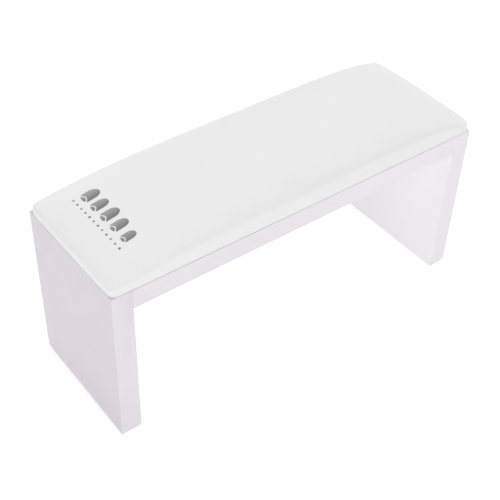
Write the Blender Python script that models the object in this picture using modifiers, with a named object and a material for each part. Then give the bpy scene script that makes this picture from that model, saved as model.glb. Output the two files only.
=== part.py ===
"""A manicure armrest: a low bridge of three lacquered boards that carries a stuffed pad.

Metres, +Z up. The origin lies on the table, midway between the two legs. X runs along the
armrest from the left leg to the right one, and Y runs across it, from front to back.
"""

import math

import bmesh
import bpy
from mathutils import Matrix, Vector

# The frame: two legs at full height, with the top board let in between them.
LENGTH = 0.360
WIDTH = 0.120
BOARD = 0.018
LEG_HEIGHT = 0.150
FOOT_HEIGHT = 0.002
FRAME_TOP = FOOT_HEIGHT + LEG_HEIGHT
CLEARANCE = 0.0003  # the gap kept between pieces that touch
EASED_EDGE = 0.0008  # the lacquered boards' rounded edges

# The dowels that join each leg to the top board.
DOWEL_RADIUS = 0.004
DOWEL_LENGTH = 0.035
DOWEL_IN_LEG = 0.0115
DOWEL_FLUTES = 14
DOWEL_FLUTE_DEPTH = 0.0003
DOWEL_CHAMFER = 0.0008
DOWEL_PLACES = (-0.040, 0.0, 0.040)
DOWEL_END_GAP = 0.0006
DOWEL_LEVEL = FRAME_TOP - BOARD / 2

# The felt discs under the legs.
FOOT_RADIUS = 0.007
FOOT_PLACE = 0.044
FOOT_CHAMFER = 0.0003

# The pad's outline in plan, a hair inside the frame's.
PAD_HALF_LENGTH = LENGTH / 2 - 0.0003
PAD_HALF_WIDTH = WIDTH / 2 - 0.0003
PAD_CORNER = 0.006

# The pad's crown, in heights above the frame's top. The right end is stuffed a little fuller.
END_HEIGHT = 0.0077
END_DIFFERENCE = 0.0009
SWELL = 0.0158  # what the middle stands higher than the ends
WALL_SHARE = 0.4  # the part of the swell that the long sides' walls take
SHOULDER_FULLNESS = 5
CROSS_RISE = 0.0015
FULLNESS_LEFT = 3.4
FULLNESS_RIGHT = 5.9
RIM_WIDTH = 0.003
RIM_DROP = 0.002

# The pad's layers, from the frame up.
COVER_THICKNESS = 0.0011
COVER_LOWER_ROUND = 0.0015
FLAP_WIDTH = 0.016
BASE_THICKNESS = 0.003
BASE_BOTTOM = FRAME_TOP + 2 * CLEARANCE + COVER_THICKNESS
BASE_TOP = BASE_BOTTOM + BASE_THICKNESS
BASE_INSET = COVER_THICKNESS + CLEARANCE
BASE_BEVEL_WIDTH = 0.003
BASE_BEVEL_DEPTH = 0.0012
FOAM_END_INSET = 0.008
FOAM_SIDE_INSET = 0.0024
FOAM_CORNER = 0.010
FOAM_UNDER_COVER = COVER_THICKNESS + 0.0005
FOAM_RIM_WIDTH = 0.004
FOAM_RIM_DROP = 0.0005

# The tape that holds the pad on the frame lies where the flaps leave the base board bare.
TAPE_LENGTH = 0.240
TAPE_WIDTH = 0.020
TAPE_PLACE = 0.018

# The staples that hold the cover's flaps to the base board.
STAPLE_CROWN = 0.010
STAPLE_LEG = 0.004
STAPLE_WIRE_HEIGHT = 0.0005
STAPLE_WIRE_WIDTH = 0.0007
STAPLE_FROM_EDGE = 0.009
STAPLES_PER_SIDE = 7
STAPLE_PITCH = 0.050
STAPLE_END_PLACES = (-0.022, 0.022)
CROWN_SLOT_DEPTH = STAPLE_WIRE_HEIGHT + CLEARANCE
CROWN_SLOT_ROOM = 0.0004

# How finely round pieces, the pad's outline and its slopes are divided.
ROUND_STEPS = 24
CORNER_STEPS = 4
LONG_SIDE_STEPS = 20
SHORT_SIDE_STEPS = 4
RIM_STEPS = 4
FOAM_RIM_STEPS = 2
LOWER_ROUND_STEPS = 2
CROWN_INSETS = (0.006, 0.011, 0.019, 0.030, 0.044, PAD_HALF_WIDTH)
MERGE_DISTANCE = 0.00001
CUTTER_REACH = 0.001  # how far a cutter runs past the face it starts from
SHARP_ANGLE = math.radians(35)


def clear_scene():
    for thing in list(bpy.data.objects):
        bpy.data.objects.remove(thing)


def new_collection(name):
    collection = bpy.data.collections.new(name)
    bpy.context.scene.collection.children.link(collection)
    return collection


def new_material(name, colour, roughness, metallic=0.0):
    material = bpy.data.materials.new(name)
    material.use_nodes = True
    shader = material.node_tree.nodes["Principled BSDF"]
    shader.inputs["Base Color"].default_value = (*colour, 1.0)
    shader.inputs["Roughness"].default_value = roughness
    shader.inputs["Metallic"].default_value = metallic
    material.diffuse_color = (*colour, 1.0)
    return material


clear_scene()
PARTS = new_collection("manicure_armrest")
CUTTERS = new_collection("cutters")

LACQUER = new_material("white_lacquer", (0.80, 0.77, 0.80), 0.40)
BEECH = new_material("beech", (0.62, 0.42, 0.25), 0.70)
HARDBOARD = new_material("hardboard", (0.33, 0.20, 0.11), 0.75)
FOAM = new_material("foam", (0.85, 0.80, 0.62), 0.95)
LEATHERETTE = new_material("white_leatherette", (0.82, 0.82, 0.82), 0.50)
WIRE = new_material("galvanised_wire", (0.62, 0.62, 0.64), 0.35, metallic=1.0)
TAPE = new_material("mounting_tape", (0.75, 0.75, 0.72), 0.80)
FELT = new_material("felt", (0.60, 0.60, 0.58), 0.95)


def object_from(name, mesh_maker, material, collection):
    """A new object in this collection, whose mesh is the one that mesh_maker holds."""
    mesh = bpy.data.meshes.new(name)
    mesh_maker.to_mesh(mesh)
    mesh_maker.free()
    if material:
        mesh.materials.append(material)
    thing = bpy.data.objects.new(name, mesh)
    collection.objects.link(thing)
    return thing


def smooth(thing):
    thing.data.shade_smooth()
    thing.data.set_sharp_from_angle(angle=SHARP_ANGLE)


def add_box(maker, centre, size):
    """Adds one box to the mesh in the making."""
    place = Matrix.Translation(centre) @ Matrix.Diagonal((*size, 1.0))
    return bmesh.ops.create_cube(maker, size=1.0, matrix=place)["verts"]


def add_round(maker, centre, radius, length, along_x=False):
    """Adds one cylinder, upright or lying along X."""
    turn = Matrix.Rotation(math.radians(90), 4, "Y") if along_x else Matrix.Identity(4)
    bmesh.ops.create_cone(
        maker, cap_ends=True, segments=ROUND_STEPS, radius1=radius, radius2=radius,
        depth=length, matrix=Matrix.Translation(centre) @ turn,
    )


def cut(thing, name, cutter_maker):
    """Cuts the cutter's shape out of a piece."""
    cutter = object_from(name, cutter_maker, None, CUTTERS)
    cutter.hide_render = True
    cutter.display_type = "WIRE"
    boolean = thing.modifiers.new(name, "BOOLEAN")
    boolean.operation = "DIFFERENCE"
    boolean.solver = "EXACT"
    boolean.object = cutter


def ease_edges(maker, wanted):
    """Rounds the edges that wanted(edge) picks."""
    bmesh.ops.bevel(
        maker, geom=[edge for edge in maker.edges if wanted(edge)], offset=EASED_EDGE,
        segments=2, profile=0.5, affect="EDGES", clamp_overlap=True,
    )


def dowel_holes(side, inner_face, depth):
    """Cylinders for one end's dowels, from the joint's plane to this depth."""
    maker = bmesh.new()
    middle = inner_face + side * (depth - CUTTER_REACH) / 2
    for place in DOWEL_PLACES:
        centre = (middle, place, DOWEL_LEVEL)
        add_round(maker, centre, DOWEL_RADIUS + CLEARANCE, depth + CUTTER_REACH, along_x=True)
    return maker


def leg_panel(name, side):
    """A leg at full height. side is -1 at the left and +1 at the right."""
    maker = bmesh.new()
    centre = Vector((side * (LENGTH - BOARD) / 2, 0, FOOT_HEIGHT + LEG_HEIGHT / 2))
    add_box(maker, centre, (BOARD, WIDTH, LEG_HEIGHT))
    inner_face = side * (LENGTH / 2 - BOARD)

    def away_from_joint(edge):
        on_inner_face = all(abs(v.co.x - inner_face) < MERGE_DISTANCE for v in edge.verts)
        at_top = all(v.co.z > centre.z for v in edge.verts)
        return not (on_inner_face and at_top)

    ease_edges(maker, away_from_joint)
    leg = object_from(name, maker, LACQUER, PARTS)
    cut(leg, name + "_dowel_holes", dowel_holes(side, inner_face, DOWEL_IN_LEG + DOWEL_END_GAP))
    smooth(leg)


def top_panel():
    """The board between the legs, with its long edges eased."""
    maker = bmesh.new()
    half_length = LENGTH / 2 - BOARD - CLEARANCE
    centre = (0, 0, FRAME_TOP - BOARD / 2)
    add_box(maker, centre, (2 * half_length, WIDTH, BOARD))
    ease_edges(maker, lambda edge: abs(edge.verts[0].co.x - edge.verts[1].co.x) > half_length)
    panel = object_from("top_panel", maker, LACQUER, PARTS)
    depth = DOWEL_LENGTH - DOWEL_IN_LEG - CLEARANCE + DOWEL_END_GAP
    for side, word in ((-1, "left"), (1, "right")):
        cut(panel, f"top_panel_{word}_holes", dowel_holes(-side, side * half_length, depth))
    smooth(panel)


def dowel(name, side, place):
    """A fluted dowel, half in the leg and half in the top board's end."""
    maker = bmesh.new()
    segments = 2 * DOWEL_FLUTES
    bmesh.ops.create_cone(
        maker, cap_ends=True, segments=segments, radius1=DOWEL_RADIUS, radius2=DOWEL_RADIUS,
        depth=DOWEL_LENGTH - 2 * DOWEL_CHAMFER,
    )
    groove = (DOWEL_RADIUS - DOWEL_FLUTE_DEPTH) / DOWEL_RADIUS
    for vertex in maker.verts:
        turn = round(math.atan2(vertex.co.y, vertex.co.x) / (2 * math.pi) * segments)
        if turn % 2:
            vertex.co.x *= groove
            vertex.co.y *= groove
    chamfer = (DOWEL_RADIUS - DOWEL_CHAMFER) / DOWEL_RADIUS
    for cap in [face for face in maker.faces if len(face.verts) > 4]:
        outward = math.copysign(DOWEL_CHAMFER, cap.calc_center_median().z)
        end = bmesh.ops.extrude_discrete_faces(maker, faces=[cap])["faces"][0]
        for vertex in end.verts:
            vertex.co = (vertex.co.x * chamfer, vertex.co.y * chamfer, vertex.co.z + outward)
    joint = side * (LENGTH / 2 - BOARD)
    middle = joint + side * (DOWEL_IN_LEG - DOWEL_LENGTH / 2)
    pin = object_from(name, maker, BEECH, PARTS)
    pin.rotation_euler = (0, math.radians(90), 0)
    pin.location = (middle, place, DOWEL_LEVEL)


def foot(name, side, place):
    """A felt disc under a leg, with its lower rim chamfered."""
    maker = bmesh.new()
    height = FOOT_HEIGHT - CLEARANCE
    add_round(maker, (0, 0, height / 2), FOOT_RADIUS, height)
    rim = [edge for edge in maker.edges if all(v.co.z < MERGE_DISTANCE for v in edge.verts)]
    bmesh.ops.bevel(
        maker, geom=rim, offset=FOOT_CHAMFER, segments=1, profile=0.5, affect="EDGES",
        clamp_overlap=True,
    )
    disc = object_from(name, maker, FELT, PARTS)
    disc.location = (side * (LENGTH - BOARD) / 2, place, 0)
    smooth(disc)


def outline(half_length, half_width, corner):
    """Points anticlockwise round a rounded rectangle, the same number for every size."""
    corner = max(corner, 0.0)
    points = []
    for quarter in range(4):
        side_x = 1 if quarter in (0, 3) else -1
        side_y = 1 if quarter in (0, 1) else -1
        centre = Vector((side_x * (half_length - corner), side_y * (half_width - corner)))
        for step in range(CORNER_STEPS + 1):
            angle = math.radians(90 * (quarter + step / CORNER_STEPS))
            points.append(centre + corner * Vector((math.cos(angle), math.sin(angle))))
        # The straight side that follows this corner.
        if quarter in (0, 2):
            run = Vector((-2 * side_x * (half_length - corner), 0))
            steps = LONG_SIDE_STEPS
        else:
            run = Vector((0, -2 * side_y * (half_width - corner)))
            steps = SHORT_SIDE_STEPS
        start = points[-1]
        points += [start + run * (step / steps) for step in range(1, steps)]
    return points


def crown(x, y):
    """The height of the pad's top, before its rim is rounded off."""
    along = max(-1.0, min(1.0, x / PAD_HALF_LENGTH))
    across = min(1.0, abs(y) / PAD_HALF_WIDTH)
    fullness = FULLNESS_LEFT if along < 0 else FULLNESS_RIGHT
    end = END_HEIGHT + END_DIFFERENCE * along
    shoulder = math.sqrt(1 - across ** SHOULDER_FULLNESS)
    swell = SWELL * (1 - abs(along) ** fullness) * (WALL_SHARE + (1 - WALL_SHARE) * shoulder)
    return FRAME_TOP + end + swell + CROSS_RISE * (1 - across * across)


def pad_ring(maker, inset, height):
    """A ring of the cover at this inset from its outline. height gives z from x and y."""
    points = outline(PAD_HALF_LENGTH - inset, PAD_HALF_WIDTH - inset, PAD_CORNER - inset)
    return [maker.verts.new((x, y, height(x, y))) for x, y in points]


def join_rings(maker, rings):
    """Quads between each ring and the next one."""
    for lower, upper in zip(rings, rings[1:]):
        for here in range(len(lower)):
            after = (here + 1) % len(lower)
            maker.faces.new((lower[here], lower[after], upper[after], upper[here]))


def quarter_round(width, depth, steps):
    """(inset, drop) pairs up an elliptical quarter, from the wall to the top."""
    angles = [math.radians(90 * step / steps) for step in range(steps + 1)]
    return [(width * (1 - math.cos(angle)), depth * (1 - math.sin(angle))) for angle in angles]


def merge_points(maker):
    bmesh.ops.remove_doubles(maker, verts=maker.verts, dist=MERGE_DISTANCE)
    bmesh.ops.recalc_face_normals(maker, faces=maker.faces)


def each_staple():
    """(name, x, y, turn) of each staple, its crown along the pad's edge."""
    places = []
    for side, word in ((-1, "front"), (1, "back")):
        for number in range(STAPLES_PER_SIDE):
            x = STAPLE_PITCH * (number - (STAPLES_PER_SIDE - 1) / 2)
            y = side * (PAD_HALF_WIDTH - STAPLE_FROM_EDGE)
            places.append((f"staple_{word}_{number + 1}", x, y, 0.0))
    for side, word in ((-1, "left"), (1, "right")):
        for number, y in enumerate(STAPLE_END_PLACES):
            x = side * (PAD_HALF_LENGTH - STAPLE_FROM_EDGE)
            places.append((f"staple_{word}_{number + 1}", x, y, math.radians(90)))
    return places


def staple_cutter(room, bottom, top, legs_only):
    """Boxes round every staple's crown, or round its two legs, with this room on each side."""
    maker = bmesh.new()
    height = top - bottom
    if legs_only:
        reach = (STAPLE_CROWN - STAPLE_WIRE_HEIGHT) / 2
        shapes = [(-reach, STAPLE_WIRE_HEIGHT), (reach, STAPLE_WIRE_HEIGHT)]
    else:
        shapes = [(0, STAPLE_CROWN)]
    for _, x, y, turn in each_staple():
        for shift, length in shapes:
            size = (length + 2 * room, STAPLE_WIRE_WIDTH + 2 * room, height)
            corners = add_box(maker, (shift, 0, (bottom + top) / 2), size)
            placed = Matrix.Translation((x, y, 0)) @ Matrix.Rotation(turn, 4, "Z")
            bmesh.ops.transform(maker, matrix=placed, verts=corners)
    return maker


def pad_base_board():
    """The hardboard that the cover is stapled to, its upper edge bevelled under the cover."""
    maker = bmesh.new()
    edge_top = BASE_TOP - BASE_BEVEL_DEPTH
    profile = ((0, BASE_BOTTOM), (0, edge_top), (BASE_BEVEL_WIDTH, BASE_TOP))
    rings = [
        pad_ring(maker, BASE_INSET + inset, lambda x, y, z=z: z) for inset, z in profile
    ]
    join_rings(maker, rings)
    maker.faces.new(rings[-1])
    maker.faces.new(reversed(rings[0]))
    bmesh.ops.recalc_face_normals(maker, faces=maker.faces)
    board = object_from("pad_base_board", maker, HARDBOARD, PARTS)
    holes = staple_cutter(
        CLEARANCE, BASE_BOTTOM - CUTTER_REACH, BASE_TOP + CUTTER_REACH, legs_only=True
    )
    cut(board, "base_board_staple_holes", holes)


def pad_foam():
    """The foam on the base board, crowned like the cover that it fills."""
    maker = bmesh.new()
    bottom = BASE_TOP + CLEARANCE
    half_length = PAD_HALF_LENGTH - FOAM_END_INSET
    half_width = PAD_HALF_WIDTH - FOAM_SIDE_INSET

    def ring(inset, height):
        points = outline(half_length - inset, half_width - inset, FOAM_CORNER - inset)
        return [maker.verts.new((x, y, height(x, y))) for x, y in points]

    rings = [ring(0, lambda x, y: bottom)]
    for inset, drop in quarter_round(FOAM_RIM_WIDTH, FOAM_RIM_DROP, FOAM_RIM_STEPS):
        rings.append(ring(inset, lambda x, y, drop=drop: crown(x, y) - FOAM_UNDER_COVER - drop))
    for inset in (*CROWN_INSETS[:-1], half_width):
        rings.append(ring(inset, lambda x, y: crown(x, y) - FOAM_UNDER_COVER))
    join_rings(maker, rings)
    maker.faces.new(reversed(rings[0]))
    merge_points(maker)
    foam = object_from("pad_foam", maker, FOAM, PARTS)
    smooth(foam)


def pad_cover():
    """The leatherette: over the foam, down the sides and under the base board's rim."""
    maker = bmesh.new()
    bottom = FRAME_TOP + CLEARANCE
    rings = [pad_ring(maker, FLAP_WIDTH, lambda x, y: bottom)]
    lower = quarter_round(COVER_LOWER_ROUND, COVER_LOWER_ROUND, LOWER_ROUND_STEPS)
    for inset, rise in reversed(lower):
        rings.append(pad_ring(maker, inset, lambda x, y, rise=rise: bottom + rise))
    for inset, drop in quarter_round(RIM_WIDTH, RIM_DROP, RIM_STEPS):
        rings.append(pad_ring(maker, inset, lambda x, y, drop=drop: crown(x, y) - drop))
    for inset in CROWN_INSETS:
        rings.append(pad_ring(maker, inset, crown))
    join_rings(maker, rings)
    merge_points(maker)
    cover = object_from("pad_cover", maker, LEATHERETTE, PARTS)
    shell = cover.modifiers.new("leatherette", "SOLIDIFY")
    shell.thickness = COVER_THICKNESS
    shell.offset = -1
    shell.use_even_offset = True
    start = bottom - CUTTER_REACH
    slots = staple_cutter(CROWN_SLOT_ROOM, start, bottom + CROWN_SLOT_DEPTH, legs_only=False)
    cut(cover, "cover_crown_slots", slots)
    holes = staple_cutter(CLEARANCE, start, bottom + COVER_THICKNESS + CLEARANCE, legs_only=True)
    cut(cover, "cover_staple_holes", holes)
    smooth(cover)


def staple_outline():
    """The staple's flat outline: a crown with a pointed leg at each end."""
    half = STAPLE_CROWN / 2
    wire = STAPLE_WIRE_HEIGHT
    right = [
        (half, 0), (half, STAPLE_LEG - wire), (half - wire / 2, STAPLE_LEG),
        (half - wire, STAPLE_LEG - wire), (half - wire, wire),
    ]
    return right + [(-x, z) for x, z in reversed(right)]


def staples():
    """Every staple is an extruded outline, with its crown in the cover's slot."""
    curve = bpy.data.curves.new("staple", "CURVE")
    curve.dimensions = "2D"
    curve.fill_mode = "BOTH"
    curve.extrude = STAPLE_WIRE_WIDTH / 2
    points = staple_outline()
    spline = curve.splines.new("POLY")
    spline.points.add(len(points) - 1)
    for point, (x, z) in zip(spline.points, points):
        point.co = (x, z, 0, 1)
    spline.use_cyclic_u = True
    curve.materials.append(WIRE)
    for name, x, y, turn in each_staple():
        staple = bpy.data.objects.new(name, curve)
        staple.rotation_euler = (math.radians(90), 0, turn)
        staple.location = (x, y, FRAME_TOP + CLEARANCE)
        PARTS.objects.link(staple)


def tape_strip(name, side):
    """A strip of mounting tape between the top board and the pad's base board."""
    maker = bmesh.new()
    height = BASE_BOTTOM - FRAME_TOP - 2 * CLEARANCE
    centre = (0, side * TAPE_PLACE, (FRAME_TOP + BASE_BOTTOM) / 2)
    add_box(maker, centre, (TAPE_LENGTH, TAPE_WIDTH, height))
    object_from(name, maker, TAPE, PARTS)


for side_word, side_sign in (("left", -1), ("right", 1)):
    leg_panel(f"{side_word}_leg_panel", side_sign)
    for dowel_number, dowel_place in enumerate(DOWEL_PLACES):
        dowel(f"dowel_{side_word}_{dowel_number + 1}", side_sign, dowel_place)
    for end_word, end_sign in (("front", -1), ("back", 1)):
        foot(f"foot_{side_word}_{end_word}", side_sign, end_sign * FOOT_PLACE)
top_panel()
pad_base_board()
pad_foam()
pad_cover()
staples()
tape_strip("pad_tape_front", -1)
tape_strip("pad_tape_back", 1)
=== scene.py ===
"""A manicure armrest: a low bridge of three lacquered boards with a crowned leatherette pad on it.

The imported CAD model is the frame. The boards, the pad's cover, its foam and the print are finer
pieces that stand for CAD nodes or ride with them; dowels, base board, tape, staples and felt discs
are the CAD nodes themselves with better materials. Metres, +Z up, the front at -Y.
"""
import math

import bmesh
import bpy
import numpy as np
from mathutils import Matrix, Vector
from mathutils.bvhtree import BVHTree


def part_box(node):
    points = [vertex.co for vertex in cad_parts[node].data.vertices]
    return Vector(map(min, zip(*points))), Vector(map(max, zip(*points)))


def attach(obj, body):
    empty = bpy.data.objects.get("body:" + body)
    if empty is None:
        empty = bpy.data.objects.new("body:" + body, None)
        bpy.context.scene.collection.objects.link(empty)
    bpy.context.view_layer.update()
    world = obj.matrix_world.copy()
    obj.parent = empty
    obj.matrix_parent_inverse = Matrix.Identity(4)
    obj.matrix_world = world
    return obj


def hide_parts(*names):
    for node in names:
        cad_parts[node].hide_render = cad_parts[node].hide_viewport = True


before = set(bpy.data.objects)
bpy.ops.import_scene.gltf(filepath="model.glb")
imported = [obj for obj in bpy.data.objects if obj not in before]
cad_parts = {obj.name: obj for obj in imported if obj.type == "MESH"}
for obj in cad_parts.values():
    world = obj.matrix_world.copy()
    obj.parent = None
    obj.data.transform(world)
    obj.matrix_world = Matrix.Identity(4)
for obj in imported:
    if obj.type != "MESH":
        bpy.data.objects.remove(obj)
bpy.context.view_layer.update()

BODY = "root"

# ---------------------------------------------------------------- the CAD's places
LEG_LOW, LEG_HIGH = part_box("right_leg_panel")
BEAM_LOW, BEAM_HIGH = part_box("top_panel")
COVER_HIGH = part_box("pad_cover")[1]
FOAM_LOW, FOAM_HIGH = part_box("pad_foam")
FRAME_TOP = LEG_HIGH.z
DOWELS = [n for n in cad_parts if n.startswith("dowel_")]
STAPLES = [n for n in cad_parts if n.startswith("staple_")]
FEET = [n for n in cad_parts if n.startswith("foot_")]

# ---------------------------------------------------------------- boards
EASED_EDGE = 0.00012
EDGE_STEPS = 4
BROAD_FACE_WEIGHT = 100
DOWEL_ROOM = 0.0003
HOLE_SIDES = 32

# ---------------------------------------------------------------- pad: the crown's shape
END_HEIGHT = 0.0077
END_DIFFERENCE = 0.0009
SWELL = 0.0158
WALL_SHARE = 0.4
SHOULDER_FULLNESS = 5
CROSS_RISE = 0.0015
FULLNESS_LEFT = 3.4
FULLNESS_RIGHT = 5.9
RIM_WIDTH = 0.003
RIM_DROP = 0.002
LOWER_ROUND = 0.0001
SEAM_GAP = 0.00003
CORNER = 0.006
COVER_THICKNESS = 0.0011
MERGE_DISTANCE = 0.0006
SNAP_HEIGHT = 0.0004
FLAP_RISE = 0.0005
FLAP_RISE_START, FLAP_RISE_END = 0.003, 0.007

# ---------------------------------------------------------------- pad: the skin's mesh
LONG_CELLS = 60
SHORT_CELLS = 20
GRID_WARP = 0.82
SAME_SHARE, SAME_PLACE = 1e-9, 1e-6
GRID_INSET = 0.013
RING_INSETS = (0.0095, 0.0068, 0.0047)
RIM_STEPS = 5
WALL_STEPS = 3
ROUND_STEPS = 3
FLAP_INSETS = (0.0035, 0.0065, 0.0095, 0.0125, 0.016)

# ---------------------------------------------------------------- pad: the swelling
START_LOWERED = 0.0007
PRESSURE = 4.0
CLOTH_QUALITY = 6
STRETCH_STIFFNESS = 40
BENDING_STIFFNESS = 3
SWELL_FRAMES = 20
CROWN_CAP = 0.0008
RIM_CAP = 0.0002
EVENING_ROUNDS = 12
NO_MOTION = 1e-9

# ---------------------------------------------------------------- pad: the foam inside
FOAM_GAP = 0.0003
FOAM_CORNER = 0.005
FOAM_GRID_INSET = 0.010
FOAM_RINGS = (0.0075, 0.0050)
FOAM_ROUND = 0.0025
FOAM_ROUND_DROP = 0.0012
FOAM_ROUND_STEPS = 4

# ---------------------------------------------------------------- generic print
NAIL_FIRST = 0.0312
NAIL_PITCH = 0.0141
NAIL_WIDTHS = (0.0106, 0.0095, 0.0099, 0.0093, 0.0079)
NAIL_LENGTHS = (0.0155, 0.0148, 0.0158, 0.0148, 0.0126)
NAIL_FOOT = -0.1490
NAIL_COLUMNS, NAIL_ROWS = 25, 12
MOON_COLUMNS, MOON_ROWS = 10, 3
# heights as shares of a nail's length
HEEL, TIP = 0.20, 0.40
MOON_HEIGHT, GAP_HEIGHT = 0.20, 0.27
# breadths as shares of a nail's half width
MOON_BREADTH, GAP_BREADTH = 0.70, 0.86
MOON_REACH, BODY_REACH = 0.66, 0.93
TIP_POWER, TIP_ROUNDNESS = 2.3, 0.62
DOT_LINE = -0.1540
DOT_COUNT = 12
DOT_FIRST = 0.0352
DOT_PITCH = 0.0060
DOT_RADIUS = 0.0010
DOT_SIDES = 16
INK_ABOVE = 0.00006
INK_BELOW = 0.00010
RAY_START = 0.05

# ---------------------------------------------------------------- camera
CAMERA_PLACE = (-0.41913, -0.51411, 0.65904)
CAMERA_AZIMUTH = math.radians(-38.541)
CAMERA_ELEVATION = math.radians(41.995)
CAMERA_ROLL = math.radians(2.256)
CAMERA_LENS = 73.485
CAMERA_SENSOR = 36.0
CAMERA_CLIP = (0.01, 50.0)


# ================================================================ small helpers
def mesh_object(name, points, faces):
    """A new object of these points and faces, which keep the side that their order gives them."""
    mesh = bpy.data.meshes.new(name)
    mesh.from_pydata([tuple(p) for p in points], [], faces)
    mesh.validate()
    return linked(name, mesh)


def from_bmesh(name, bm):
    """A new object of this bmesh, which is freed."""
    mesh = bpy.data.meshes.new(name)
    bm.to_mesh(mesh)
    bm.free()
    return linked(name, mesh)


def linked(name, data):
    """A new object of this mesh, lamp or camera, in the scene's collection."""
    piece = bpy.data.objects.new(name, data)
    bpy.context.scene.collection.objects.link(piece)
    return piece


def smooth(piece):
    for face in piece.data.polygons:
        face.use_smooth = True


def bake_modifiers(piece):
    """Replaces the piece's mesh by what its modifiers make of it."""
    graph = bpy.context.evaluated_depsgraph_get()
    made = bpy.data.meshes.new_from_object(piece.evaluated_get(graph), depsgraph=graph)
    piece.modifiers.clear()
    old = piece.data
    piece.data = made
    bpy.data.meshes.remove(old)
    made.name = piece.name


def weigh_normals(piece):
    """Keeps broad flat faces flat beside their rounded edges."""
    modifier = piece.modifiers.new("weighted", "WEIGHTED_NORMAL")
    modifier.weight = BROAD_FACE_WEIGHT
    modifier.keep_sharp = True


def finish_piece(piece, material, replaces=()):
    """Gives the piece its material and its body, and hides the CAD nodes that it stands for."""
    piece.data.materials.clear()
    piece.data.materials.append(material)
    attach(piece, BODY)
    if replaces:
        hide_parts(*replaces)


# ================================================================ materials
class Shader:
    """A material's node tree with short ways to add and join nodes."""

    def __init__(self, name):
        self.material = bpy.data.materials.new(name)
        self.material.use_nodes = True
        self.tree = self.material.node_tree
        self.surface = self.tree.nodes["Principled BSDF"]
        self.place = self.tree.nodes.new("ShaderNodeTexCoord").outputs["Object"]

    def node(self, kind, **values):
        """A new node of this kind, with these of its own settings."""
        made = self.tree.nodes.new("ShaderNode" + kind)
        for key, value in values.items():
            setattr(made, key, value)
        return made

    def join(self, output, socket):
        self.tree.links.new(output, socket)

    def set(self, **values):
        """Sets the surface's own sockets, with _ in place of each space."""
        for key, value in values.items():
            self.surface.inputs[key.replace("_", " ")].default_value = value

    def axis(self, vector, name):
        """One of the vector's parts X, Y and Z."""
        split = self.node("SeparateXYZ")
        self.join(vector, split.inputs["Vector"])
        return split.outputs[name]

    def stretched(self, x, y, z):
        """The place in metres times these factors."""
        mapping = self.node("Mapping")
        mapping.inputs["Scale"].default_value = (x, y, z)
        self.join(self.place, mapping.inputs["Vector"])
        return mapping.outputs["Vector"]

    def noise(self, scale, detail=2.0, roughness=0.5, at=None):
        made = self.node("TexNoise")
        made.inputs["Scale"].default_value = scale
        made.inputs["Detail"].default_value = detail
        made.inputs["Roughness"].default_value = roughness
        self.join(at or self.place, made.inputs["Vector"])
        return made.outputs["Fac"]

    def cells(self, scale, feature="F1"):
        made = self.node("TexVoronoi", feature=feature)
        made.inputs["Scale"].default_value = scale
        self.join(self.place, made.inputs["Vector"])
        return made.outputs["Distance"]

    def spread(self, value, low, high, to_low, to_high):
        """The value mapped from low..high to to_low..to_high, and held at their ends."""
        made = self.node("MapRange", interpolation_type="SMOOTHSTEP")
        for name, number in zip(
            ("From Min", "From Max", "To Min", "To Max"), (low, high, to_low, to_high)
        ):
            made.inputs[name].default_value = number
        self.join(value, made.inputs["Value"])
        return made.outputs["Result"]

    def math(self, operation, a, b=None):
        """What the operation makes of a and b, each a number or an output."""
        made = self.node("Math", operation=operation)
        for socket, value in zip(made.inputs, (a, b)):
            if isinstance(value, (int, float)):
                socket.default_value = value
            elif value is not None:
                self.join(value, socket)
        return made.outputs["Value"]

    def blend(self, share, low, high):
        """The colour low at 0 and high at 1, each a colour or an output."""
        made = self.node("Mix", data_type="RGBA")
        self.join(share, made.inputs["Factor"])
        for socket, colour in ((made.inputs["A"], low), (made.inputs["B"], high)):
            if isinstance(colour, tuple):
                socket.default_value = (*colour, 1.0)
            else:
                self.join(colour, socket)
        return made.outputs["Result"]

    def colour(self, output):
        self.join(output, self.surface.inputs["Base Color"])

    def roughness(self, output):
        self.join(output, self.surface.inputs["Roughness"])

    def bump(self, *layers):
        """Layers of (height, strength, depth in metres), the broadest first."""
        below = None
        for height, strength, depth in layers:
            made = self.node("Bump")
            made.inputs["Strength"].default_value = strength
            made.inputs["Distance"].default_value = depth
            self.join(height, made.inputs["Height"])
            if below:
                self.join(below, made.inputs["Normal"])
            below = made.outputs["Normal"]
        self.join(below, self.surface.inputs["Normal"])


# Painted light and shade: the broad faces' coats are darker and the front and back edges' coats
# paler, each running from the left-hand end to the right.
FACE_COATS_PAINTED_SHADE = ((0.698, 0.645, 0.698), (0.837, 0.816, 0.842))
EDGE_COATS_PAINTED_LIGHT = ((0.792, 0.757, 0.798), (0.845, 0.817, 0.852))
COAT_DRIFT = (0.72, 0.68, 0.72)
PAINTED_SHADE_FROM, PAINTED_SHADE_TO = -0.16, 0.14
PAINTED_EDGE_LIGHT_FROM, PAINTED_EDGE_LIGHT_TO = 0.5, 0.9
WHITE_SKINS = ((0.858, 0.858, 0.860), (0.868, 0.868, 0.868))
SKIN_VALLEY_SHADE = (0.834, 0.833, 0.838)
INKS = ((0.34, 0.34, 0.34), (0.135, 0.135, 0.14))
INK_FLAKE = (0.50, 0.50, 0.50)


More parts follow.
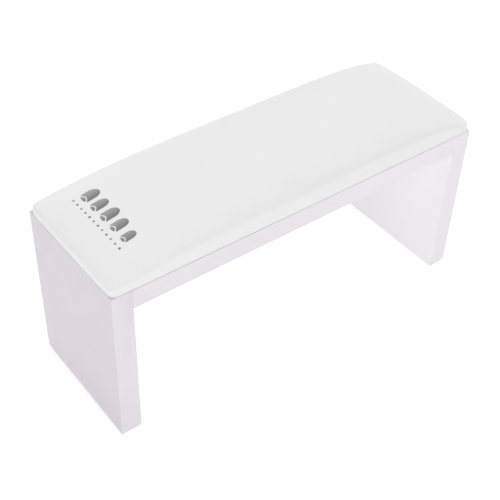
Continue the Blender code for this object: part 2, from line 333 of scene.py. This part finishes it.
def lacquer():
    """Satin white lacquer with a breath of lilac.

    It is a little paler towards the right-hand end and on the boards' front and back edges, painted
    light and shade in its colour.
    """
    s = Shader("satin_lacquer")
    # painted shade: the colour darkens towards the left-hand end and pales towards the right-hand
    # end
    along = s.spread(s.axis(s.place, "X"), PAINTED_SHADE_FROM, PAINTED_SHADE_TO, 0.0, 1.0)
    # painted highlight: faces that look to the front or back, the boards' edges, are paler
    turn = s.math("ABSOLUTE", s.axis(s.node("TexCoord").outputs["Normal"], "Y"))
    painted_edge_light = s.spread(turn, PAINTED_EDGE_LIGHT_FROM, PAINTED_EDGE_LIGHT_TO, 0.0, 1.0)
    coat = s.blend(painted_edge_light, s.blend(along, *FACE_COATS_PAINTED_SHADE), s.blend(along, *EDGE_COATS_PAINTED_LIGHT))
    drift = s.spread(s.noise(11.0, 2.0), 0.3, 0.7, 0.0, 0.14)
    s.colour(s.blend(drift, coat, COAT_DRIFT))
    s.roughness(s.spread(s.noise(46.0, 3.0), 0.3, 0.7, 0.40, 0.50))
    peel = s.noise(620.0, 1.5, 0.45)
    swell = s.noise(38.0, 2.0)
    s.bump((swell, 0.25, 0.00012), (peel, 0.35, 0.00003))
    s.set(IOR=1.48, Coat_Weight=0.12, Coat_Roughness=0.22)
    return s.material


def leatherette():
    """Smooth white leatherette with a fine pebbled grain and pores."""
    s = Shader("smooth_leatherette")
    warp = s.noise(900.0, 2.0)
    pebbles = s.cells(1250.0, "SMOOTH_F1")
    valley = s.spread(pebbles, 0.25, 0.75, 0.0, 1.0)
    drift = s.spread(s.noise(14.0, 3.0), 0.3, 0.7, 0.0, 1.0)
    # painted shade: the colour darkens in the grain's valleys
    s.colour(s.blend(s.math("MULTIPLY", valley, 0.35), s.blend(drift, *WHITE_SKINS), SKIN_VALLEY_SHADE))
    s.roughness(s.spread(valley, 0.0, 1.0, 0.50, 0.60))
    s.bump(
        (s.noise(60.0, 2.0), 0.2, 0.00015),
        (s.math("SUBTRACT", 1.0, pebbles), 0.35, 0.00006),
        (warp, 0.2, 0.00003),
    )
    s.set(IOR=1.46, Subsurface_Weight=0.25, Subsurface_Scale=0.0012)
    s.surface.inputs["Subsurface Radius"].default_value = (1.0, 1.0, 1.0)
    return s.material


def silver_ink():
    """Grey metallic ink, which runs from light to dark across each shape of the row."""
    s = Shader("silver_ink")
    down = s.math("SUBTRACT", NAIL_FIRST + NAIL_PITCH / 2, s.axis(s.place, "Y"))
    share = s.math("FRACT", s.math("DIVIDE", down, NAIL_PITCH))
    tone = s.blend(s.spread(share, 0.08, 0.92, 0.0, 1.0), *INKS)
    flakes = s.noise(2600.0, 2.0)
    s.colour(s.blend(s.spread(flakes, 0.35, 0.75, 0.0, 0.22), tone, INK_FLAKE))
    s.roughness(s.spread(flakes, 0.3, 0.7, 0.42, 0.56))
    s.bump((flakes, 0.2, 0.00002))
    s.set(Metallic=0.3)
    return s.material


def beech():
    """Pale beech with long grain and short dark flecks along the dowel."""
    s = Shader("beech_wood")
    grain = s.noise(1.0, 4.0, 0.6, s.stretched(14.0, 260.0, 260.0))
    fleck = s.noise(1.0, 1.0, 0.5, s.stretched(160.0, 1500.0, 1500.0))
    wood = s.blend(s.spread(grain, 0.3, 0.7, 0.0, 1.0), (0.66, 0.44, 0.26), (0.80, 0.60, 0.39))
    s.colour(s.blend(s.spread(fleck, 0.60, 0.70, 0.0, 0.55), wood, (0.36, 0.20, 0.11)))
    s.roughness(s.spread(grain, 0.3, 0.7, 0.55, 0.72))
    s.bump((grain, 0.5, 0.00010), (fleck, 0.3, 0.00005))
    return s.material


def hardboard():
    """Brown hardboard, pressed fibres with a slightly glossy skin."""
    s = Shader("pressed_hardboard")
    fibre = s.noise(1.0, 5.0, 0.65, s.stretched(420.0, 420.0, 2600.0))
    cloud = s.noise(45.0, 3.0)
    brown = s.blend(s.spread(cloud, 0.3, 0.7, 0.0, 1.0), (0.25, 0.135, 0.065), (0.33, 0.185, 0.09))
    s.colour(s.blend(s.spread(fibre, 0.5, 0.8, 0.0, 0.6), brown, (0.47, 0.30, 0.17)))
    s.roughness(s.spread(fibre, 0.3, 0.7, 0.5, 0.75))
    s.bump((cloud, 0.3, 0.0001), (fibre, 0.4, 0.00006))
    return s.material


def foam():
    """Cream polyurethane foam with open pores."""
    s = Shader("open_foam")
    pores = s.cells(820.0, "F1")
    fine = s.cells(2300.0, "F1")
    depth = s.spread(pores, 0.1, 0.65, 0.0, 1.0)
    # painted shade: the colour is darker down in the pores
    s.colour(s.blend(depth, (0.60, 0.54, 0.38), (0.86, 0.82, 0.68)))
    s.roughness(s.spread(depth, 0.0, 1.0, 0.95, 0.82))
    s.bump((s.noise(70.0, 3.0), 0.4, 0.0004), (pores, 0.8, 0.0005), (fine, 0.5, 0.0002))
    s.set(Sheen_Weight=0.25, Sheen_Roughness=0.6)
    return s.material


def tape():
    """Grey-white foam mounting tape with closed cells."""
    s = Shader("foam_tape")
    cell = s.cells(1900.0, "F1")
    mottle = s.spread(s.noise(120.0, 3.0), 0.3, 0.7, 0.0, 1.0)
    ground = s.blend(mottle, (0.66, 0.67, 0.66), (0.74, 0.75, 0.74))
    # painted shade: the colour darkens in the cells' pits
    s.colour(s.blend(s.spread(cell, 0.2, 0.6, 0.3, 0.0), ground, (0.48, 0.49, 0.48)))
    s.roughness(s.spread(mottle, 0.0, 1.0, 0.62, 0.74))
    s.bump((cell, 0.5, 0.00008))
    return s.material


def wire():
    """Zinc-coated wire with drawn streaks."""
    s = Shader("zinc_wire")
    streak = s.noise(1.0, 3.0, 0.5, s.stretched(400.0, 400.0, 2400.0))
    s.colour(s.blend(s.spread(streak, 0.3, 0.7, 0.0, 1.0), (0.50, 0.51, 0.52), (0.66, 0.66, 0.65)))
    s.roughness(s.spread(streak, 0.3, 0.7, 0.28, 0.44))
    s.bump((streak, 0.3, 0.00002))
    s.set(Metallic=1.0)
    return s.material


def felt():
    """Pressed grey-white felt with tangled fibres."""
    s = Shader("pressed_felt")
    tangle = s.noise(1500.0, 6.0, 0.75)
    tuft = s.noise(330.0, 3.0)
    pale = s.blend(s.spread(tuft, 0.3, 0.7, 0.0, 1.0), (0.60, 0.59, 0.58), (0.72, 0.71, 0.70))
    s.colour(s.blend(s.spread(tangle, 0.35, 0.65, 0.5, 0.0), pale, (0.40, 0.39, 0.39)))
    s.roughness(s.spread(tangle, 0.3, 0.7, 0.85, 0.98))
    s.bump((tuft, 0.6, 0.0003), (tangle, 0.8, 0.0002))
    s.set(Sheen_Weight=0.4, Sheen_Roughness=0.5)
    return s.material


def floor_paper():
    """Matt near-white paper, lit through a little as on a light table, more so far away."""
    s = Shader("white_paper")
    tooth = s.noise(300.0, 3.0)
    s.colour(s.blend(s.spread(tooth, 0.3, 0.7, 0.0, 1.0), (0.90, 0.90, 0.90), (0.92, 0.92, 0.92)))
    s.roughness(s.spread(tooth, 0.3, 0.7, 0.85, 0.95))
    length = s.node("VectorMath", operation="LENGTH")
    s.join(s.place, length.inputs["Vector"])
    glow = s.spread(length.outputs["Value"], GLOW_START, GLOW_END, FLOOR_GLOW, FAR_GLOW)
    s.join(glow, s.surface.inputs["Emission Strength"])
    s.set(Emission_Color=(1.0, 1.0, 1.0, 1.0), Specular_IOR_Level=0.1)
    return s.material


# ================================================================ boards
def bridge():
    """The whole lacquered bridge with eased outer edges, before it is parted into its boards."""
    outline = (
        (-LEG_HIGH.x, LEG_LOW.z),
        (-LEG_LOW.x, LEG_LOW.z),
        (-LEG_LOW.x, BEAM_LOW.z),
        (LEG_LOW.x, BEAM_LOW.z),
        (LEG_LOW.x, LEG_LOW.z),
        (LEG_HIGH.x, LEG_LOW.z),
        (LEG_HIGH.x, LEG_HIGH.z),
        (-LEG_HIGH.x, LEG_HIGH.z),
    )
    bm = bmesh.new()
    near = [bm.verts.new((x, LEG_LOW.y, z)) for x, z in outline]
    far = [bm.verts.new((x, LEG_HIGH.y, z)) for x, z in outline]
    bm.faces.new(near)
    bm.faces.new(list(reversed(far)))
    count = len(outline)
    for i in range(count):
        j = (i + 1) % count
        bm.faces.new((near[j], near[i], far[i], far[j]))
    bmesh.ops.recalc_face_normals(bm, faces=bm.faces)
    outer = [e for e in bm.edges if e.calc_face_angle_signed() > 0]
    bmesh.ops.bevel(
        bm,
        geom=outer,
        offset=EASED_EDGE,
        offset_type="OFFSET",
        segments=EDGE_STEPS,
        profile=0.5,
        affect="EDGES",
        clamp_overlap=True,
    )
    return bm


def part_of(bm, cuts):
    """A closed copy of the mesh between planes, each (x, direction of the side that goes)."""
    part = bm.copy()
    for x, direction in cuts:
        bmesh.ops.bisect_plane(
            part,
            geom=part.verts[:] + part.edges[:] + part.faces[:],
            plane_co=(x, 0, 0),
            plane_no=(direction, 0, 0),
            clear_outer=True,
            clear_inner=False,
        )
        rim = [e for e in part.edges if e.is_boundary]
        bmesh.ops.contextual_create(part, geom=rim)
    bmesh.ops.recalc_face_normals(part, faces=part.faces)
    return part


def drill(piece, dowels):
    """Cuts a hole for each of these dowels, a little wider and deeper than the dowel."""
    bm = bmesh.new()
    for name in dowels:
        low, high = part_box(name)
        middle = (low + high) / 2
        radius = (high.z - low.z) / 2 + DOWEL_ROOM
        length = high.x - low.x + 2 * DOWEL_ROOM
        turn = Matrix.Rotation(math.pi / 2, 4, "Y")
        bmesh.ops.create_cone(
            bm,
            cap_ends=True,
            segments=HOLE_SIDES,
            radius1=radius,
            radius2=radius,
            depth=length,
            matrix=Matrix.Translation(middle) @ turn,
        )
    cutter = from_bmesh("cutter", bm)
    modifier = piece.modifiers.new("holes", "BOOLEAN")
    modifier.operation = "DIFFERENCE"
    modifier.solver = "EXACT"
    modifier.object = cutter
    bake_modifiers(piece)
    bpy.data.objects.remove(cutter)


def boards(paint):
    """The three boards, which are parts of one bridge, so that their joints have no gap."""
    whole = bridge()
    joint = BEAM_HIGH.x
    plan = (
        ("left_leg_board", "left_leg_panel", [(-joint, 1)], "dowel_left"),
        ("right_leg_board", "right_leg_panel", [(joint, -1)], "dowel_right"),
        ("top_board", "top_panel", [(joint, 1), (-joint, -1)], "dowel_"),
    )
    for name, node, cuts, dowels in plan:
        piece = from_bmesh(name, part_of(whole, cuts))
        drill(piece, [d for d in DOWELS if d.startswith(dowels)])
        smooth(piece)
        weigh_normals(piece)
        bake_modifiers(piece)
        finish_piece(piece, paint, [node])
    whole.free()


# ================================================================ pad
def crown(x, y):
    """Height of the pad's top over the plan, before its rim is rounded off."""
    along = max(-1.0, min(1.0, x / COVER_HIGH.x))
    across = min(1.0, abs(y) / COVER_HIGH.y)
    fullness = FULLNESS_LEFT if along < 0 else FULLNESS_RIGHT
    end = END_HEIGHT + END_DIFFERENCE * along
    shoulder = math.sqrt(1 - across ** SHOULDER_FULLNESS)
    swell = SWELL * (1 - abs(along) ** fullness) * (WALL_SHARE + (1 - WALL_SHARE) * shoulder)
    return FRAME_TOP + end + swell + CROSS_RISE * (1 - across * across)


def warped(count, half):
    """Places from -half to half, closer together towards both ends."""
    reach = GRID_WARP * math.pi / 2
    shares = [2 * i / count - 1 for i in range(count + 1)]
    return [half * math.sin(reach * share) / math.sin(reach) for share in shares]


def outline_point(half_x, half_y, corner, share_x, share_y, inner_x, inner_y):
    """The outline's point that belongs to a point on the inner rectangle's edge."""
    on_long = abs(abs(share_y) - inner_y) < SAME_SHARE
    along, inner = (abs(share_x), inner_x) if on_long else (abs(share_y), inner_y)
    straight = (half_x if on_long else half_y) - corner
    run = along / inner * (straight + corner * math.pi / 4)
    over = max(0.0, run - straight) / corner if corner else 0.0
    a = min(run, straight) + corner * math.sin(over)
    b = (half_y if on_long else half_x) - corner + corner * math.cos(over)
    x, y = (a, b) if on_long else (b, a)
    return math.copysign(x, share_x), math.copysign(y, share_y)


class Plan:
    """A rectangle's grid inside rings that run out to a rounded outline."""

    def __init__(self, half_x, half_y, corner, inset):
        self.half_x, self.half_y, self.corner = half_x, half_y, corner
        self.inner_x, self.inner_y = half_x - inset, half_y - inset
        xs, ys = warped(LONG_CELLS, self.inner_x), warped(SHORT_CELLS, self.inner_y)
        self.grid = [(x, y) for y in ys for x in xs]
        wide = LONG_CELLS + 1
        self.quads = [
            (j * wide + i, j * wide + i + 1, (j + 1) * wide + i + 1, (j + 1) * wide + i)
            for j in range(SHORT_CELLS)
            for i in range(LONG_CELLS)
        ]
        bottom = list(range(LONG_CELLS))
        right = [j * wide + LONG_CELLS for j in range(SHORT_CELLS)]
        top = [SHORT_CELLS * wide + i for i in range(LONG_CELLS, 0, -1)]
        left = [j * wide for j in range(SHORT_CELLS, 0, -1)]
        self.edge = bottom + right + top + left
        self.outline = [
            outline_point(half_x, half_y, corner, *self.grid[k], self.inner_x, self.inner_y)
            for k in self.edge
        ]
        self.outward = []
        for x, y in self.outline:
            cx = math.copysign(max(0.0, abs(x) - (half_x - corner)), x)
            cy = math.copysign(max(0.0, abs(y) - (half_y - corner)), y)
            if cx == 0 or cy == 0:
                on_end = abs(x) > half_x - SAME_PLACE
                cx, cy = (math.copysign(1, x), 0) if on_end else (0, math.copysign(1, y))
            size = math.hypot(cx, cy)
            self.outward.append((cx / size, cy / size))

    def ring(self, inset, rim=RIM_WIDTH):
        """The ring's points at this distance inside the outline."""
        points = []
        for (x, y), k, (ox, oy) in zip(self.outline, self.edge, self.outward):
            gx, gy = self.grid[k]
            full = max(abs(x - gx), abs(y - gy))
            share = inset / full
            straight = (x - ox * inset, y - oy * inset)
            slanted = (x + (gx - x) * share, y + (gy - y) * share)
            near = max(0.0, 1 - inset / rim)
            points.append(tuple(n * near + s * (1 - near) for n, s in zip(straight, slanted)))
        return points


def rim_drop(inset, width=RIM_WIDTH, drop=RIM_DROP):
    """How far the rounded rim lies below the crown at this distance inside the outline."""
    if inset >= width:
        return 0.0
    return drop * (1 - math.sqrt(1 - (1 - inset / width) ** 2))


def step_between(value, low, high):
    """0 up to low, 1 from high on, and smooth between them."""
    share = max(0.0, min(1.0, (value - low) / (high - low)))
    return share * share * (3 - 2 * share)


def skin(plan, bottom, lowered):
    """Points, faces, inwardness and held points of the pad's skin.

    The rings run from the crown over the rim and the wall to the flap's edge. lowered is how far
    the middle starts below its full height. Inwardness is 0 at the rim and 1 over the inner grid.
    """
    inward = [1.0] * len(plan.grid)
    points = [(x, y, crown(x, y) - lowered) for x, y in plan.grid]
    faces = list(plan.quads)
    count = len(plan.edge)
    rows = []
    turns = [math.pi / 2 * k / RIM_STEPS for k in range(RIM_STEPS + 1)]
    for inset in (*RING_INSETS, *(RIM_WIDTH * (1 - math.sin(t)) for t in turns)):
        share = inset / GRID_INSET
        fall = rim_drop(inset) + lowered * share
        rows.append((share, [(x, y, crown(x, y) - fall) for x, y in plan.ring(inset)]))
    rim = rows[-1][1]
    low = bottom + LOWER_ROUND
    for k in range(1, WALL_STEPS + 1):
        share = k / WALL_STEPS
        rows.append((0.0, [(x, y, z + (low - z) * share) for x, y, z in rim]))
    free = len(rows) - 1
    for k in range(1, ROUND_STEPS + 1):
        turn = math.pi / 2 * k / ROUND_STEPS
        z = bottom + LOWER_ROUND * (1 - math.sin(turn))
        rows.append((0.0, [(x, y, z) for x, y in plan.ring(LOWER_ROUND * (1 - math.cos(turn)))]))
    for inset in FLAP_INSETS:
        z = bottom + FLAP_RISE * step_between(inset, FLAP_RISE_START, FLAP_RISE_END)
        rows.append((0.0, [(x, y, z) for x, y in plan.ring(inset)]))
    above = plan.edge
    for share, row in rows:
        ring = range(len(points), len(points) + count)
        points.extend(row)
        inward.extend([share] * count)
        faces.extend(
            (above[i], ring[i], ring[(i + 1) % count], above[(i + 1) % count]) for i in range(count)
        )
        above = ring
    held = list(range(len(plan.grid) + free * count, len(points)))
    return points, faces, np.array(inward), held


def coordinates(mesh):
    """The mesh's points as rows of x, y and z."""
    flat = np.empty(len(mesh.vertices) * 3)
    mesh.vertices.foreach_get("co", flat)
    return flat.reshape(-1, 3)


def evened(mesh, moved, held):
    """The motion, averaged over neighbouring points in rounds, with the held points still."""
    ends = np.empty(len(mesh.edges) * 2, dtype=np.int64)
    mesh.edges.foreach_get("vertices", ends)
    a, b = ends[0::2], ends[1::2]
    near = np.bincount(ends, minlength=len(moved)).astype(float)[:, None]
    for _ in range(EVENING_ROUNDS):
        total = np.zeros_like(moved)
        np.add.at(total, a, moved[b])
        np.add.at(total, b, moved[a])
        moved = (moved + total / near) / 2
        moved[held] = 0
    return moved


def blow_up(piece, inward, held):
    """Swells the free skin by a cloth simulation, and applies its evened and capped motion.

    Returns how far each point moved before the cap.
    """
    start = coordinates(piece.data)
    group = piece.vertex_groups.new(name="held")
    group.add(held, 1.0, "REPLACE")
    modifier = piece.modifiers.new("swell", "CLOTH")
    cloth = modifier.settings
    cloth.quality = CLOTH_QUALITY
    cloth.use_pressure = True
    cloth.uniform_pressure_force = PRESSURE
    cloth.vertex_group_mass = "held"
    cloth.effector_weights.gravity = 0
    cloth.tension_stiffness = STRETCH_STIFFNESS
    cloth.compression_stiffness = STRETCH_STIFFNESS
    cloth.bending_stiffness = BENDING_STIFFNESS
    modifier.point_cache.frame_start = 1
    modifier.point_cache.frame_end = SWELL_FRAMES
    scene = bpy.context.scene
    scene.frame_start, scene.frame_end = 1, SWELL_FRAMES
    for number in range(1, SWELL_FRAMES + 1):
        scene.frame_set(number)
    graph = bpy.context.evaluated_depsgraph_get()
    end = coordinates(piece.evaluated_get(graph).data)
    piece.modifiers.clear()
    piece.vertex_groups.clear()
    scene.frame_set(1)
    moved = evened(piece.data, end - start, held)
    length = np.linalg.norm(moved, axis=1)
    cap = RIM_CAP + (CROWN_CAP - RIM_CAP) * inward
    limited = cap * np.tanh(length / cap)
    moved *= (limited / np.maximum(length, NO_MOTION))[:, None]
    piece.data.vertices.foreach_set("co", (start + moved).ravel())
    piece.data.update()
    return length


def square_inside(piece, bottom):
    """Squares the inner side's lower corner, where the thickened skin would fold over itself.

    The piece has its outer points first, and then as many inner ones in the same order.
    """
    points = coordinates(piece.data)
    first = len(points) // 2
    outer, inner = points[:first], points[first:]
    core = np.array((COVER_HIGH.x - CORNER, COVER_HIGH.y - CORNER))
    over = np.maximum(np.abs(outer[:, :2]) - core, 0)
    reach = np.hypot(over[:, 0], over[:, 1])
    lip = bottom + COVER_THICKNESS
    foot = outer[:, 2] < lip + COVER_THICKNESS
    near = np.flatnonzero(foot & (reach > CORNER - COVER_THICKNESS))
    drawn = over[near] * ((CORNER - COVER_THICKNESS) / reach[near])[:, None]
    squared = np.minimum(np.abs(outer[near, :2]), core) + drawn
    inner[near, :2] = np.sign(outer[near, :2]) * squared
    inner[near, 2] = np.where(outer[near, 2] < lip + SNAP_HEIGHT, lip, outer[near, 2])
    piece.data.vertices.foreach_set("co", points.ravel())
    bm = bmesh.new()
    bm.from_mesh(piece.data)
    bm.verts.ensure_lookup_table()
    met = [bm.verts[first + i] for i in near]
    bmesh.ops.remove_doubles(bm, verts=met, dist=MERGE_DISTANCE)
    bm.to_mesh(piece.data)
    bm.free()


def pad_cover(leather):
    """The leatherette cover: a closed skin with a crown, a wall and a turned-in flap."""
    plan = Plan(COVER_HIGH.x, COVER_HIGH.y, CORNER, GRID_INSET)
    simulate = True
    lowered = START_LOWERED if simulate else 0.0
    points, faces, inward, held = skin(plan, FRAME_TOP + SEAM_GAP, lowered)
    piece = mesh_object("pad_leatherette", points, faces)
    if simulate:
        length = blow_up(piece, inward, held)
        most, mean = length.max() * 1000, length.mean() * 1000
        print("swelled by up to %.2f mm, mean %.2f mm" % (most, mean))
    finer = piece.modifiers.new("finer", "SUBSURF")
    finer.levels = finer.render_levels = 1
    thick = piece.modifiers.new("thickness", "SOLIDIFY")
    thick.thickness = COVER_THICKNESS
    thick.offset = -1
    thick.use_even_offset = True
    bake_modifiers(piece)
    square_inside(piece, FRAME_TOP + SEAM_GAP)
    smooth(piece)
    finish_piece(piece, leather, ["pad_cover"])
    return piece


def foam_core(cover, fill):
    """The foam block under the cover, as high as the cover's inner side allows."""
    plan = Plan(FOAM_HIGH.x, FOAM_HIGH.y, FOAM_CORNER, FOAM_GRID_INSET)
    tree = BVHTree.FromObject(cover, bpy.context.evaluated_depsgraph_get())
    floor = FOAM_LOW.z

    def top(x, y, inset):
        hit = tree.ray_cast(Vector((x, y, floor)), Vector((0, 0, 1)))
        return hit[0].z - FOAM_GAP - rim_drop(inset, FOAM_ROUND, FOAM_ROUND_DROP)

    turns = [math.pi / 2 * k / FOAM_ROUND_STEPS for k in range(FOAM_ROUND_STEPS + 1)]
    insets = (*FOAM_RINGS, *(FOAM_ROUND * (1 - math.sin(t)) for t in turns))
    rings = [(inset, plan.ring(inset, FOAM_ROUND)) for inset in insets]
    flat = list(plan.grid) + [p for _, ring in rings for p in ring]
    depth = [FOAM_ROUND] * len(plan.grid) + [i for i, ring in rings for _ in ring]
    count = len(plan.edge)
    quads = list(plan.quads)
    above = plan.edge
    for k in range(len(rings)):
        first = len(plan.grid) + k * count
        ring = range(first, first + count)
        quads.extend(
            (above[i], ring[i], ring[(i + 1) % count], above[(i + 1) % count]) for i in range(count)
        )
        above = ring
    under = len(flat)
    points = [(x, y, top(x, y, inset)) for (x, y), inset in zip(flat, depth)]
    points += [(x, y, floor) for x, y in flat]
    faces = quads + [tuple(i + under for i in reversed(f)) for f in quads]
    faces += [
        (above[i], above[i] + under, above[(i + 1) % count] + under, above[(i + 1) % count])
        for i in range(count)
    ]
    piece = mesh_object("foam_core", points, faces)
    smooth(piece)
    weigh_normals(piece)
    bake_modifiers(piece)
    finish_piece(piece, fill, ["pad_foam"])


# ================================================================ print
def surface_over(piece):
    """A function that gives the height of the piece's top at a place in plan."""
    graph = bpy.context.evaluated_depsgraph_get()
    tree = BVHTree.FromObject(piece, graph)
    above = COVER_HIGH.z + RAY_START

    def height(x, y):
        hit = tree.ray_cast(Vector((x, y, above)), Vector((0, 0, -1)))
        return hit[0].z

    return height


def film(points, faces, height):
    """A thin closed film over the surface, from flat points and counterclockwise faces."""
    count = len(points)
    top = [(x, y, height(x, y) + INK_ABOVE) for x, y in points]
    low = [(x, y, height(x, y) - INK_BELOW) for x, y in points]
    used = {}
    for face in faces:
        for a, b in zip(face, face[1:] + face[:1]):
            used[(a, b)] = True
    walls = [(b, a, a + count, b + count) for a, b in used if (b, a) not in used]
    return top + low, faces + [tuple(i + count for i in reversed(f)) for f in faces] + walls


def patch(columns, low, high, rows, place):
    """Grid points between two curves over columns, with their faces."""
    points, faces = [], []
    for u in columns:
        for k in range(rows + 1):
            v = low(u) + (high(u) - low(u)) * k / rows
            points.append(place(u, v))
    for i in range(len(columns) - 1):
        for k in range(rows):
            a = i * (rows + 1) + k
            faces.append((a, a + 1, a + rows + 2, a + rows + 1))
    return points, faces


def nail(centre, width, length):
    """Flat patches of one nail shape: its body and, below a light gap, its half-moon."""
    heel, tip = HEEL * length, TIP * length

    def place(u, v):
        return NAIL_FOOT + v, centre + u * width / 2

    def base(u):
        return heel * (1 - math.sqrt(1 - u * u))

    def top(u):
        return length - tip * (1 - (1 - abs(u) ** TIP_POWER) ** TIP_ROUNDNESS)

    def body_low(u):
        return base(u) + GAP_HEIGHT * length * max(0.0, 1 - (u / GAP_BREADTH) ** 2)

    def moon_high(u):
        return base(u) + MOON_HEIGHT * length * (1 - (u / MOON_BREADTH) ** 2)

    reach = math.pi / 2 * BODY_REACH
    body = [math.sin(reach * (2 * i / NAIL_COLUMNS - 1)) for i in range(NAIL_COLUMNS + 1)]
    moon = [MOON_REACH * (2 * i / MOON_COLUMNS - 1) for i in range(MOON_COLUMNS + 1)]
    return (
        patch(body, body_low, top, NAIL_ROWS, place),
        patch(moon, base, moon_high, MOON_ROWS, place),
    )


def dot(x, y):
    """A round dot's points and its one face."""
    turns = [2 * math.pi * i / DOT_SIDES for i in range(DOT_SIDES)]
    ring = [(x + DOT_RADIUS * math.cos(t), y + DOT_RADIUS * math.sin(t)) for t in turns]
    return ring, [tuple(range(DOT_SIDES))]


def pad_print(cover, ink):
    """A row of five nail shapes and a line of dots, in place of a mark."""
    height = surface_over(cover)
    flats = []
    for i, (width, length) in enumerate(zip(NAIL_WIDTHS, NAIL_LENGTHS)):
        flats.extend(nail(NAIL_FIRST - NAIL_PITCH * i, width, length))
    flats.extend(dot(DOT_LINE, DOT_FIRST - DOT_PITCH * i) for i in range(DOT_COUNT))
    points, faces = [], []
    for flat, quads in flats:
        made, closed = film(flat, quads, height)
        start = len(points)
        points.extend(made)
        faces.extend(tuple(i + start for i in f) for f in closed)
    piece = mesh_object("pad_print", points, faces)
    bm = bmesh.new()
    bm.from_mesh(piece.data)
    bmesh.ops.recalc_face_normals(bm, faces=bm.faces)
    bm.to_mesh(piece.data)
    bm.free()
    finish_piece(piece, ink)


# ================================================================ carried-over nodes
def dress_nodes():
    """Gives every carried-over CAD node its procedural material."""
    given = (
        (DOWELS, beech()),
        (STAPLES, wire()),
        (FEET, felt()),
        (["pad_base_board"], hardboard()),
        (["pad_tape_front", "pad_tape_back"], tape()),
    )
    for names, material in given:
        for name in names:
            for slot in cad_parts[name].material_slots:
                slot.material = material


# ================================================================ stage, light, camera
FLOOR_HALF = 8.0
FLOOR_GLOW = 0.34
FAR_GLOW = 0.62
GLOW_START, GLOW_END = 0.6, 2.4
ROOM_LIGHT = 0.25
ROOM_TONE = 0.90
# name, place, target, width, power in watts
LIGHTS = (
    ("overhead", (0.3, 0.3, 2.4), (0, 0, 0.1), 3.0, 25.7),
    ("high_back", (0.9, 1.0, 1.6), (0, 0, 0.1), 1.4, 3.1),
    ("high_front", (-0.2, -1.8, 1.3), (0, 0, 0.1), 1.4, 2.8),
    ("right", (1.8, -0.2, 0.7), (0, 0, 0.1), 1.2, 8.1),
    ("back", (0.0, 1.8, 0.9), (0, 0, 0.1), 1.2, 9.0),
    ("low_left", (-1.9, -0.9, 0.35), (0, 0, 0.08), 1.0, 8.2),
    ("front", (-0.6, -0.9, 1.3), (0, 0, 0.1), 1.0, 5.0),
)


def stage(paper):
    """The floor."""
    half = FLOOR_HALF
    floor = mesh_object(
        "floor",
        [(-half, -half, 0), (half, -half, 0), (half, half, 0), (-half, half, 0)],
        [(0, 1, 2, 3)],
    )
    floor.data.materials.append(paper)


def lamp(name, place, target, size, watts):
    """A round soft light at this place, aimed at the target, which the camera doesn't see."""
    data = bpy.data.lights.new(name, "AREA")
    data.shape = "DISK"
    data.size = size
    data.energy = watts
    light = linked(name, data)
    light.location = place
    aim = Vector(target) - Vector(place)
    light.rotation_euler = aim.to_track_quat("-Z", "Y").to_euler()
    light.visible_camera = False


def light_room():
    """The lamps, and a room that is paler to the camera than the light it gives."""
    world = bpy.data.worlds.new("studio")
    world.use_nodes = True
    tree = world.node_tree
    back = tree.nodes["Background"]
    back.inputs["Color"].default_value = (1.0, 1.0, 1.0, 1.0)
    seen = tree.nodes.new("ShaderNodeLightPath").outputs["Is Camera Ray"]
    strength = tree.nodes.new("ShaderNodeMapRange")
    strength.inputs["To Min"].default_value = ROOM_LIGHT
    strength.inputs["To Max"].default_value = ROOM_TONE
    tree.links.new(seen, strength.inputs["Value"])
    tree.links.new(strength.outputs["Result"], back.inputs["Strength"])
    bpy.context.scene.world = world
    for row in LIGHTS:
        lamp(*row)
    view = bpy.context.scene.view_settings
    view.view_transform = "Standard"
    view.look = "None"
    view.exposure = 0.0
    view.gamma = 1.0


def set_camera():
    """The camera at the photo's viewing angle."""
    az, el = CAMERA_AZIMUTH, CAMERA_ELEVATION
    back = Vector((math.sin(az) * math.cos(el), -math.cos(az) * math.cos(el), math.sin(el)))
    right = (-back).cross(Vector((0, 0, 1))).normalized()
    up = right.cross(-back)
    across = right * math.cos(CAMERA_ROLL) + up * math.sin(CAMERA_ROLL)
    upward = up * math.cos(CAMERA_ROLL) - right * math.sin(CAMERA_ROLL)
    data = bpy.data.cameras.new("camera")
    data.lens = CAMERA_LENS
    data.sensor_width = CAMERA_SENSOR
    data.clip_start, data.clip_end = CAMERA_CLIP
    camera = linked("camera", data)
    turn = Matrix((across, upward, back)).transposed().to_4x4()
    camera.matrix_world = Matrix.Translation(CAMERA_PLACE) @ turn
    bpy.context.scene.camera = camera


# ================================================================ the scene
boards(lacquer())
cover_piece = pad_cover(leatherette())
foam_core(cover_piece, foam())
pad_print(cover_piece, silver_ink())
dress_nodes()
stage(floor_paper())
light_room()
set_camera()

bpy.context.view_layer.update()
